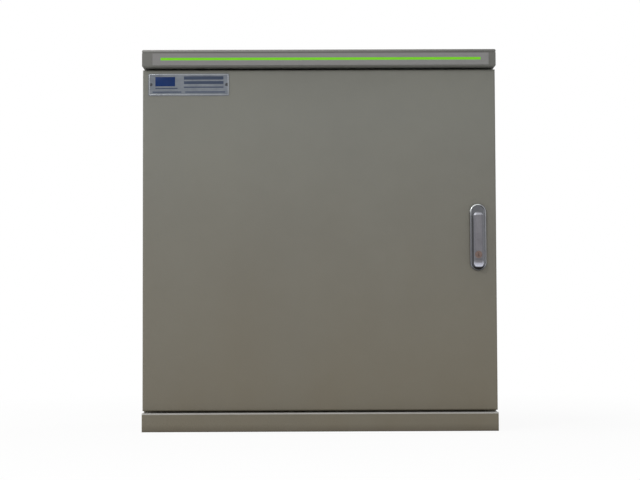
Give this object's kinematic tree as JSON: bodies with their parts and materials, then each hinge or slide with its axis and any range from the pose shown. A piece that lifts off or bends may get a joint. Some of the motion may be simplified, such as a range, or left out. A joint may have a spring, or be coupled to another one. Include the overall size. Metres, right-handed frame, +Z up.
{
  "type": "roadside utility cabinet",
  "caption": "Roadside utility cabinet: folded steel housing on a plinth with a rain hood and coloured fascia line, a hinged door with a swing-lever latch, and a mounting plate inside.",
  "frame": {"origin": "on the ground, mid width and mid depth of the whole cabinet", "axes": "+Z up, the door and the fascia face -Y, +X to the right for someone facing the door"},
  "size_m": [0.7, 0.42, 0.754],
  "materials": {
    "paint": "fine-textured powder coat",
    "fascia": "satin",
    "accent": "satin",
    "zinc": "zinc plated",
    "satin": "satin nickel",
    "nameplate": "brushed",
    "brass": "worn",
    "rubber": "matt",
    "nylon": "matt",
    "filter": "fleece"
  },
  "bodies": {
    "cabinet": {"plinth_front_rail": "paint", "plinth_rear_rail": "paint", "plinth_left_rail": "paint", "plinth_right_rail": "paint", "plinth_bolts": "zinc", "floor_pan": "paint", "left_side_panel": "paint", "right_side_panel": "paint", "rear_panel": "paint", "rear_panel_screws": "zinc", "roof_deck": "paint", "hood": "paint", "hood_bracket_left": "zinc", "hood_bracket_right": "zinc", "hood_bolts": "zinc", "fascia_strip": "fascia", "accent_strip": "accent", "gland_plate": "zinc", "gland_gasket": "rubber", "gland_plate_screws": "zinc", "cable_grommets": "rubber", "upper_filters": "filter", "lower_filters": "filter", "mounting_plate": "zinc", "mounting_studs": "zinc", "mounting_nuts": "zinc", "upper_rail": "zinc", "lower_rail": "zinc", "rail_screws": "zinc", "earth_bar": "brass", "earth_bar_screws": "zinc", "upper_keeper": "zinc", "lower_keeper": "zinc", "upper_hinge_frame_leaf": "zinc", "lower_hinge_frame_leaf": "zinc", "upper_hinge_pin": "zinc", "lower_hinge_pin": "zinc"},
    "door": {"door_panel": "paint", "door_seal": "rubber", "left_door_stiffener": "paint", "right_door_stiffener": "paint", "upper_hinge_door_leaf": "zinc", "lower_hinge_door_leaf": "zinc", "nameplate": "nameplate", "nameplate_rivets": "zinc", "handle_gasket": "rubber", "handle_dish": "satin", "handle_clamp": "zinc", "handle_screws": "zinc", "upper_rod_guide": "nylon", "lower_rod_guide": "nylon"},
    "spindle": {"handle_spindle": "satin", "lever_pin": "zinc", "lock_cam": "zinc"},
    "lever": {"handle_lever": "satin"},
    "cylinder": {"lock_cylinder": "brass"},
    "upper_rod": {"upper_rod": "zinc"},
    "lower_rod": {"lower_rod": "zinc"}
  },
  "joints": [
    {"name": "door_hinge", "type": "hinge", "parent": "cabinet", "child": "door", "pos_m": [-0.3415, -0.1758, 0.3779], "axis": [0, 0, -1], "range_deg": [0, 105]},
    {"name": "handle_turn", "type": "hinge", "parent": "door", "child": "spindle", "pos_m": [0.3135, -0.1928, 0.4212], "axis": [0, 1, 0], "range_deg": [0, 90]},
    {"name": "handle_tilt", "type": "hinge", "parent": "spindle", "child": "lever", "pos_m": [0.3135, -0.2023, 0.4212], "axis": [-1, 0, 0], "range_deg": [0, 35]},
    {"name": "lock_turn", "type": "hinge", "parent": "lever", "child": "cylinder", "pos_m": [0.3135, -0.2023, 0.3462], "axis": [0, 1, 0], "range_deg": [0, 90]},
    {"name": "upper_rod_slide", "type": "slide", "parent": "door", "child": "upper_rod", "axis": [0, 0, 1], "range_m": [-0.0128, 0]},
    {"name": "lower_rod_slide", "type": "slide", "parent": "door", "child": "lower_rod", "axis": [0, 0, 1], "range_m": [0, 0.0128]}
  ],
  "couplings": [
    {"joint": "upper_rod_slide", "follows": "handle_turn", "m_per_rad": -0.008103},
    {"joint": "lower_rod_slide", "follows": "handle_turn", "m_per_rad": 0.008103}
  ]
}
